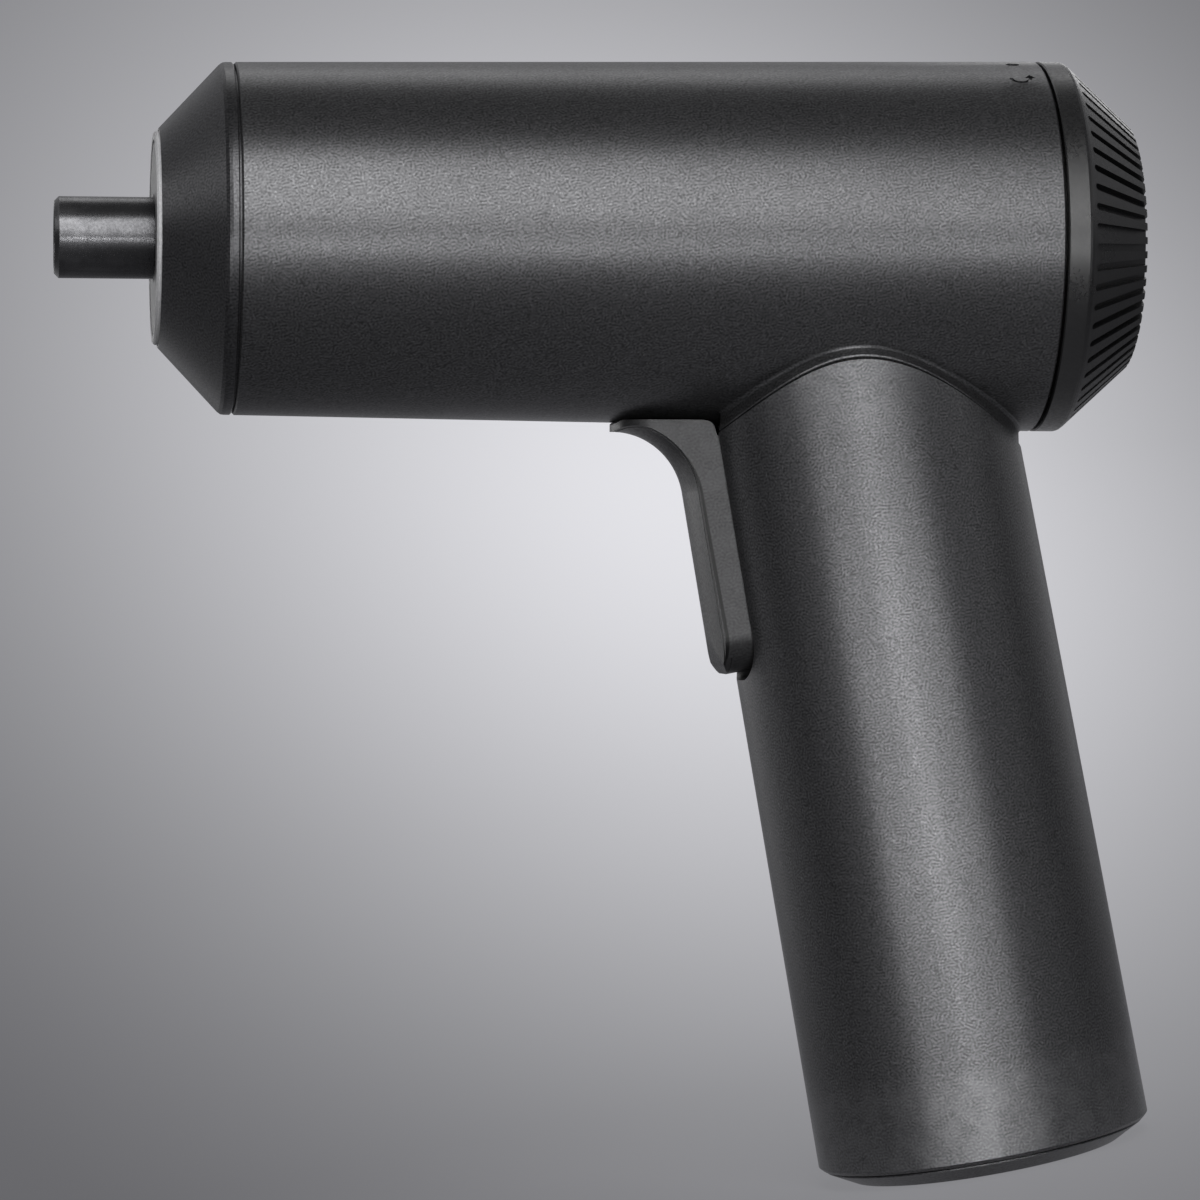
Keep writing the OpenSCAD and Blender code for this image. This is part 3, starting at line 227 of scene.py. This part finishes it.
def newMaterial(name):
    material = bpy.data.materials.new(name)
    material.use_nodes = True
    tree = material.node_tree
    shader = tree.nodes["Principled BSDF"]
    point = tree.nodes.new("ShaderNodeTexCoord").outputs["Object"]
    return material, tree, shader, point


def setShader(shader, **values):
    for name, value in values.items():
        shader.inputs[name.replace("_", " ")].default_value = value


def addBump(tree, shader, height, distance):
    bump = addNode(tree, "ShaderNodeBump", {"Height": height, "Distance": distance, "Strength": 1.0})
    tree.links.new(bump.outputs["Normal"], shader.inputs["Normal"])


plasticSet = {"sparkleGain": 3, "sparkleLift": 0.05, "rubGain": 1.6, "rubLift": 0.012, "gloss": (0.2, 0.8),
              "film": -0.035, "coatRough": 0.25}


# moulded plastic: fine grain in relief and gloss, the maze or that grain in tone, painted sparkle glints, rubbed edges,
# handling film
def makePlastic(name, dark, light, rough, size, relief, rub, fleck=0.0, specular=0.5, glossy=0.0, metallic=0.0,
                swing=0.06, maze=0.0):
    material, tree, shader, point = newMaterial(name)
    grain = useGroup(tree, mouldGrain, Point=point, Size=size)
    film = useGroup(tree, handFilm, Point=point)
    edge = useGroup(tree, edgeRub, Point=point)
    lines = useGroup(tree, mazeGrain, Point=point, Size=maze)["Tone"] if maze else grain["Tone"]
    tone = addMix(tree, lines, dark, light)
    # bright flecks lifted into the base colour: painted sparkle glints of the grain
    bright = tuple(min(1.0, c * plasticSet["sparkleGain"] + plasticSet["sparkleLift"]) for c in light)
    sparkledTone = addMix(tree, addMath(tree, "MULTIPLY", grain["SparkleFleck"], fleck), tone, bright)
    rubbed = tuple(c * plasticSet["rubGain"] + plasticSet["rubLift"] for c in light)
    worn = addMix(tree, addMath(tree, "MULTIPLY", edge["Mask"], rub), sparkledTone, rubbed)
    tree.links.new(worn, shader.inputs["Base Color"])
    grainRough = addRange(tree, grain["Tone"], *plasticSet["gloss"], rough + swing, rough - swing, False)
    filmRough = addMath(tree, "MULTIPLY", film["Mask"], plasticSet["film"])
    tree.links.new(addMath(tree, "ADD", grainRough, filmRough), shader.inputs["Roughness"])
    setShader(shader, Metallic=metallic, Specular_IOR_Level=specular, Coat_Weight=glossy,
              Coat_Roughness=plasticSet["coatRough"])
    addBump(tree, shader, grain["Height"], relief)
    return material


metalSet = {"lineShare": 0.3, "grainShare": 0.7, "rubGain": 1.3, "rubLift": 0.05, "gloss": (0.25, 0.75), "swing": 0.08}


# metal: tool lines, on some pieces under a fine grain, and rubbed edges
def makeMetal(name, dark, light, rough, pitch=0.0002, stretch=(1.0, 0.05, 0.05), relief=0.000006, rub=0.4,
              metallic=1.0, grainSize=0.0):
    material, tree, shader, point = newMaterial(name)
    lines = useGroup(tree, toolLines, Point=point, Pitch=pitch, Stretch=stretch)
    edge = useGroup(tree, edgeRub, Point=point)
    height = lines["Height"]
    tone = lines["Tone"]
    if grainSize:
        grain = useGroup(tree, mouldGrain, Point=point, Size=grainSize)
        height = addMath(tree, "ADD", addMath(tree, "MULTIPLY", height, metalSet["lineShare"]),
                         addMath(tree, "MULTIPLY", grain["Height"], metalSet["grainShare"]))
        tone = height
    colour = addMix(tree, tone, dark, light)
    rubbed = tuple(min(1.0, c * metalSet["rubGain"] + metalSet["rubLift"]) for c in light)
    worn = addMix(tree, addMath(tree, "MULTIPLY", edge["Mask"], rub), colour, rubbed)
    tree.links.new(worn, shader.inputs["Base Color"])
    toolRough = addRange(tree, tone, *metalSet["gloss"], rough + metalSet["swing"], rough - metalSet["swing"], False)
    tree.links.new(toolRough, shader.inputs["Roughness"])
    setShader(shader, Metallic=metallic)
    addBump(tree, shader, height, relief)
    return material


plasticFinishes = {
    "grained_plastic": dict(dark=(0.038, 0.038, 0.0395), light=(0.110, 0.110, 0.114), rough=0.36, size=0.00025,
                            relief=0.000004, rub=0.25, fleck=0.15, specular=0.8, metallic=0.75, swing=0.03,
                            maze=0.0004),
    "dark_plastic": dict(dark=(0.026, 0.026, 0.0275), light=(0.078, 0.078, 0.082), rough=0.35, size=0.00025,
                         relief=0.000003, rub=0.3, specular=0.9, metallic=0.75, swing=0.03, maze=0.0004),
    "cap_plastic": dict(dark=(0.004, 0.004, 0.0043), light=(0.0075, 0.0075, 0.008), rough=0.36, size=0.00032,
                        relief=0.000004, rub=0.5, specular=0.8),
    "pad_plastic": dict(dark=(0.014, 0.014, 0.0148), light=(0.021, 0.021, 0.0223), rough=0.38, size=0.0003,
                        relief=0.000004, rub=0.3, specular=0.36),
    "trigger_plastic": dict(dark=(0.018, 0.018, 0.0187), light=(0.039, 0.039, 0.0405), rough=0.42, size=0.00025,
                            relief=0.000004, rub=0.25, specular=0.5, metallic=0.5, swing=0.03, maze=0.0004),
    "disc_plastic": dict(dark=(0.23, 0.23, 0.235), light=(0.31, 0.31, 0.315), rough=0.5, size=0.0003,
                         relief=0.000008, rub=0.3),
    "frame_plastic": dict(dark=(0.09, 0.094, 0.10), light=(0.15, 0.155, 0.165), rough=0.52, size=0.0006,
                          relief=0.00001, rub=0.3),
    "gearbox_plastic": dict(dark=(0.045, 0.05, 0.057), light=(0.08, 0.086, 0.095), rough=0.5, size=0.0007,
                            relief=0.000014, rub=0.35),
    "gear_nylon": dict(dark=(0.48, 0.43, 0.32), light=(0.62, 0.57, 0.45), rough=0.42, size=0.0008, relief=0.000006,
                       rub=0.2),
    "ivory_plastic": dict(dark=(0.6, 0.58, 0.5), light=(0.74, 0.72, 0.65), rough=0.4, size=0.0008, relief=0.000006,
                          rub=0.2),
    "switch_plastic": dict(dark=(0.024, 0.026, 0.03), light=(0.04, 0.043, 0.05), rough=0.38, size=0.0004,
                           relief=0.000006, rub=0.4),
    "button_red": dict(dark=(0.42, 0.035, 0.02), light=(0.58, 0.07, 0.045), rough=0.4, size=0.0004, relief=0.000004,
                       rub=0.3),
    "board_green": dict(dark=(0.009, 0.075, 0.035), light=(0.02, 0.125, 0.062), rough=0.3, size=0.0009,
                        relief=0.00001, rub=0.3, glossy=0.4),
    "cell_sleeve": dict(dark=(0.022, 0.13, 0.36), light=(0.04, 0.19, 0.48), rough=0.3, size=0.0012, relief=0.000008,
                        rub=0.2, glossy=0.3),
    "wire_insulation": dict(dark=(0.33, 0.035, 0.02), light=(0.46, 0.07, 0.045), rough=0.45, size=0.0006,
                            relief=0.00001, rub=0.2),
    "magnet_black": dict(dark=(0.03, 0.03, 0.032), light=(0.055, 0.055, 0.058), rough=0.5, size=0.0003,
                         relief=0.00001, rub=0.5)}

metalFinishes = {
    "black_steel": dict(dark=(0.030, 0.030, 0.0315), light=(0.105, 0.105, 0.11), rough=0.27, pitch=0.00022,
                        relief=0.00001, rub=0.8, metallic=0.85, grainSize=0.00028),
    "bright_steel": dict(dark=(0.48, 0.49, 0.51), light=(0.68, 0.69, 0.71), rough=0.26),
    "spring_steel": dict(dark=(0.44, 0.45, 0.47), light=(0.62, 0.63, 0.65), rough=0.28, pitch=0.0003),
    "gear_steel": dict(dark=(0.33, 0.33, 0.335), light=(0.5, 0.5, 0.505), rough=0.38, grainSize=0.0003,
                       relief=0.00001),
    "zinc_steel": dict(dark=(0.4, 0.41, 0.42), light=(0.56, 0.57, 0.6), rough=0.32, pitch=0.0004),
    "bush_bronze": dict(dark=(0.36, 0.21, 0.085), light=(0.54, 0.33, 0.14), rough=0.36, grainSize=0.00025),
    "contact_brass": dict(dark=(0.52, 0.38, 0.15), light=(0.68, 0.52, 0.23), rough=0.3),
    "copper_winding": dict(dark=(0.36, 0.15, 0.06), light=(0.55, 0.26, 0.11), rough=0.34, pitch=0.00035,
                           stretch=(0.08, 1.0, 1.0), relief=0.00002)}

lensSet = {"dark": (0.56, 0.56, 0.575), "light": (0.66, 0.66, 0.675), "size": 0.0003, "relief": 0.000006,
           "rough": (0.2, 0.8, 0.5, 0.4), "milky": 0.35, "depth": 0.0012}


# frosted lens of the work light
def makeLens(values):
    material, tree, shader, point = newMaterial("lens_plastic")
    grain = useGroup(tree, mouldGrain, Point=point, Size=values["size"])
    tree.links.new(addMix(tree, grain["Tone"], values["dark"], values["light"]), shader.inputs["Base Color"])
    tree.links.new(addRange(tree, grain["Tone"], *values["rough"], False), shader.inputs["Roughness"])
    setShader(shader, Subsurface_Weight=values["milky"], Subsurface_Scale=values["depth"],
              Subsurface_Radius=(1.0, 1.0, 1.0))
    addBump(tree, shader, grain["Height"], values["relief"])
    return material


finishes = {name: makePlastic(name, **values) for name, values in plasticFinishes.items()}
finishes.update({name: makeMetal(name, **values) for name, values in metalFinishes.items()})
finishes["lens_plastic"] = makeLens(lensSet)

seamSet = {"hub": (-0.03021, 0.08607), "reach": 0.0092, "low": 0.069, "curl": 54.0, "half": 0.00022,
           "soft": (0.6, 1.4), "colour": (0.0015, 0.0015, 0.0016)}


# black joint between the trigger's sides and its pad: an arc above, straight below, curling at the foot
def drawSeam(material, values):
    tree = material.node_tree
    shader = tree.nodes["Principled BSDF"]
    place = addNode(tree, "ShaderNodeSeparateXYZ", {0: tree.nodes.new("ShaderNodeTexCoord").outputs["Object"]})
    x = addMath(tree, "SUBTRACT", place.outputs["X"], values["hub"][0])
    rise = addMath(tree, "MAXIMUM", addMath(tree, "SUBTRACT", place.outputs["Z"], values["hub"][1]), 0.0)
    fall = addMath(tree, "MAXIMUM", addMath(tree, "SUBTRACT", values["low"], place.outputs["Z"]), 0.0)
    squares = addMath(tree, "ADD", addMath(tree, "MULTIPLY", x, x), addMath(tree, "MULTIPLY", rise, rise))
    arc = addMath(tree, "SQRT", squares)
    curl = addMath(tree, "MULTIPLY", addMath(tree, "MULTIPLY", fall, fall), values["curl"])
    away = addMath(tree, "ABSOLUTE", addMath(tree, "SUBTRACT", addMath(tree, "ADD", arc, curl), values["reach"]))
    line = addRange(tree, away, *(values["half"] * share for share in values["soft"]), 1.0, 0.0)
    colour = shader.inputs["Base Color"].links[0].from_socket
    tree.links.new(addMix(tree, line, colour, values["colour"]), shader.inputs["Base Color"])


for name in ("trigger_plastic", "pad_plastic"):
    drawSeam(finishes[name], seamSet)
for name, piece in nodes.items():
    for place in piece.material_slots:
        place.material = finishes[place.material.name.split(".")[0]]
    if name == "trigger":
        piece.data.materials[0] = finishes["trigger_plastic"]
print("finishes on", len(nodes), "nodes")

# the trigger's spring, which shortens towards its fixed rear end as the trigger comes in: a copy of its mesh as its own
# piece on the housing, with the original hidden
triggerCoil = bpy.data.objects.new("trigger_coil", nodes["trigger_spring"].data.copy())
scene.collection.objects.link(triggerCoil)
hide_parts("trigger_spring")
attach(triggerCoil, "housing")
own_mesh(triggerCoil)
print("trigger spring fitted")

edgeSet = {"segments": 2, "sharpest": 35,
           "widths": {"barrel_shell": 0.0003, "handle_shell": 0.0003, "nose_cone": 0.0003, "selector_cap": 0.00025,
                      "base_cap": 0.0003, "bit_spindle": 0.0002, "light_ring": 0.00015}}
for name, width in edgeSet["widths"].items():
    bevel = nodes[name].modifiers.new("edgeRound", "BEVEL")
    bevel.width = width
    bevel.segments = edgeSet["segments"]
    bevel.limit_method = "ANGLE"
    bevel.angle_limit = math.radians(edgeSet["sharpest"])
print("edges rounded on", len(edgeSet["widths"]), "pieces")

# studio

coveSet = {"flat": 0.8, "bend": 0.5, "wall": 1.6, "steps": 96, "rings": 20, "bendRings": 12}


# round cove: flat floor that bends up into one wall all the way round
def makeCove(values):
    outline = [(values["flat"] * k / values["rings"], 0.0) for k in range(values["rings"] + 1)]
    for k in range(1, values["bendRings"] + 1):
        a = math.pi / 2 * k / values["bendRings"]
        outline.append((values["flat"] + values["bend"] * math.sin(a), values["bend"] * (1 - math.cos(a))))
    outline.append((outline[-1][0], values["wall"]))
    mesh = bmesh.new()
    hub = mesh.verts.new((0, 0, 0))
    rings = []
    for radius, height in outline[1:]:
        rings.append([mesh.verts.new((radius * math.cos(2 * math.pi * i / values["steps"]),
                                      radius * math.sin(2 * math.pi * i / values["steps"]), height))
                      for i in range(values["steps"])])
    for i in range(values["steps"]):
        mesh.faces.new((hub, rings[0][i], rings[0][(i + 1) % values["steps"]]))
    for low, high in zip(rings, rings[1:]):
        for i in range(values["steps"]):
            j = (i + 1) % values["steps"]
            mesh.faces.new((low[i], high[i], high[j], low[j]))
    for face in mesh.faces:
        face.smooth = True
    data = bpy.data.meshes.new("cove")
    mesh.to_mesh(data)
    mesh.free()
    cove = bpy.data.objects.new("cove", data)
    scene.collection.objects.link(cove)
    return cove


glowSet = {"bright": (0.952, 0.952, 0.995), "dim": (0.107, 0.107, 0.1155), "eye": (-0.1129, -0.6701, 0.0934),
           "aim": (0.1358, -0.0069), "turn": 54.6, "reach": (0.0934, 0.1292), "fall": 1.671, "share": 0.75,
           "far": (1.75, 2.6), "farGlow": (0.46, 0.46, 0.475), "near": (0.0, 0.35),
           "frontGlow": (0.55, 0.55, 0.57), "front": (-0.5, -0.1), "low": (0.05, 0.3), "lowShare": 0.45,
           "nearest": 0.35}


# pale paint with a soft oval pool of light behind the tool: a cone from "eye", where the photograph's camera stood.
# The numbers are fixed, so the pool stays where it is painted when the camera moves.
def makeCovePaint(values):
    material = bpy.data.materials.new("covePaint")
    material.use_nodes = True
    tree = material.node_tree
    tree.nodes.clear()
    out = tree.nodes.new("ShaderNodeOutputMaterial")
    place = addNode(tree, "ShaderNodeSeparateXYZ", {0: tree.nodes.new("ShaderNodeTexCoord").outputs["Object"]})
    depth = addMath(tree, "MAXIMUM", addMath(tree, "SUBTRACT", place.outputs["Y"], values["eye"][1]),
                    values["nearest"])
    offsets = []
    for axis, start, aim in (("X", values["eye"][0], values["aim"][0]), ("Z", values["eye"][2], values["aim"][1])):
        slant = addMath(tree, "DIVIDE", addMath(tree, "SUBTRACT", place.outputs[axis], start), depth)
        offsets.append(addMath(tree, "SUBTRACT", slant, aim))
    c, s = math.cos(math.radians(values["turn"])), math.sin(math.radians(values["turn"]))
    squares = []
    for first, second, reach in ((c, s, values["reach"][0]), (-s, c, values["reach"][1])):
        along = addMath(tree, "ADD", addMath(tree, "MULTIPLY", offsets[0], first / reach),
                        addMath(tree, "MULTIPLY", offsets[1], second / reach))
        squares.append(addMath(tree, "MULTIPLY", along, along))
    away = addMath(tree, "SQRT", addMath(tree, "ADD", squares[0], squares[1]))
    pool = addMath(tree, "EXPONENT", addMath(tree, "MULTIPLY", addMath(tree, "POWER", away, values["fall"]), -1.0))
    far = addMath(tree, "MULTIPLY", addRange(tree, away, *values["far"]),
                  addRange(tree, place.outputs["Y"], *values["near"]))
    edge = addMix(tree, far, values["dim"], values["farGlow"])
    front = addMath(tree, "MULTIPLY", addRange(tree, place.outputs["Y"], *values["front"], 1.0, 0.0),
                    addRange(tree, place.outputs["Z"], *values["low"], 1.0, values["lowShare"]))
    edge = addMix(tree, front, edge, values["frontGlow"])
    colour = addMix(tree, pool, edge, values["bright"])
    light = tree.nodes.new("ShaderNodeLightPath")
    seen = addMath(tree, "MAXIMUM", light.outputs["Is Camera Ray"],
                   addMath(tree, "MAXIMUM", light.outputs["Is Glossy Ray"], light.outputs["Is Transmission Ray"]))
    glow = addNode(tree, "ShaderNodeEmission", {"Color": colour,
                                                "Strength": addMath(tree, "MULTIPLY", seen, values["share"])})
    paint = addNode(tree, "ShaderNodeBsdfDiffuse", {"Color": addMix(tree, 1 - values["share"], (0, 0, 0), colour)})
    both = tree.nodes.new("ShaderNodeAddShader")
    tree.links.new(glow.outputs[0], both.inputs[0])
    tree.links.new(paint.outputs[0], both.inputs[1])
    tree.links.new(both.outputs[0], out.inputs["Surface"])
    return material


cove = makeCove(coveSet)
cove.data.materials.append(makeCovePaint(glowSet))


def addSoftbox(name, place, target, wide, high, radiance):
    data = bpy.data.lights.new(name, "AREA")
    data.shape = "RECTANGLE"
    data.size = wide
    data.size_y = high
    data.energy = radiance * data.size * data.size_y * math.pi
    lamp = bpy.data.objects.new(name, data)
    scene.collection.objects.link(lamp)
    lamp.location = place
    lamp.rotation_euler = (Vector(target) - Vector(place)).to_track_quat("-Z", "Y").to_euler()
    lamp.visible_camera = False
    return lamp


# a box: azimuth and rise in degrees from the middle, distance, width and height in metres, radiance
lampSet = {"middle": (-0.02, 0.0, 0.09), "lowSpread": 46, "lowTip": 84,
           "boxes": {"tall": (-84.0, 31.0, 1.0, 0.40, 0.86, 5.0), "low": (-96.0, -4.4, 0.76, 0.34, 0.05, 2.1),
                     "lowLeft": (-121.0, -4.4, 0.76, 0.32, 0.05, 1.35),
                     "lowRight": (-71.0, -4.4, 0.76, 0.32, 0.05, 1.0),
                     "left": (172.0, 30.0, 1.0, 0.5, 0.25, 1.1), "right": (-14.0, 10.0, 1.0, 0.5, 0.3, 0.5),
                     "backLeft": (125.0, 9.0, 1.0, 0.5, 0.3, 1.5), "backRight": (62.0, 12.0, 1.0, 0.4, 0.36, 1.3),
                     "backTop": (83.0, 52.0, 1.0, 0.7, 0.35, 1.1)}}


def around(azimuth, rise, away, middle):
    a, e = math.radians(azimuth), math.radians(rise)
    return (middle[0] + away * math.cos(e) * math.cos(a), middle[1] + away * math.cos(e) * math.sin(a),
            middle[2] + away * math.sin(e))


middle = lampSet["middle"]
for name, (azimuth, rise, away, wide, high, radiance) in lampSet["boxes"].items():
    lamp = addSoftbox(name + "Softbox", around(azimuth, rise, away, middle), middle, wide, high, radiance)
    if name.startswith("low"):  # narrow strips near the floor, aimed a little downwards
        lamp.data.spread = math.radians(lampSet["lowSpread"])
        lamp.rotation_euler = (math.radians(lampSet["lowTip"]), 0, math.radians(azimuth + 90))

worldSet = {"colour": (0.5, 0.5, 0.515, 1), "strength": 0.25}
world = bpy.data.worlds.new("world")
scene.world = world
world.use_nodes = True
background = world.node_tree.nodes["Background"]
background.inputs["Color"].default_value = worldSet["colour"]
background.inputs["Strength"].default_value = worldSet["strength"]
print("studio built")
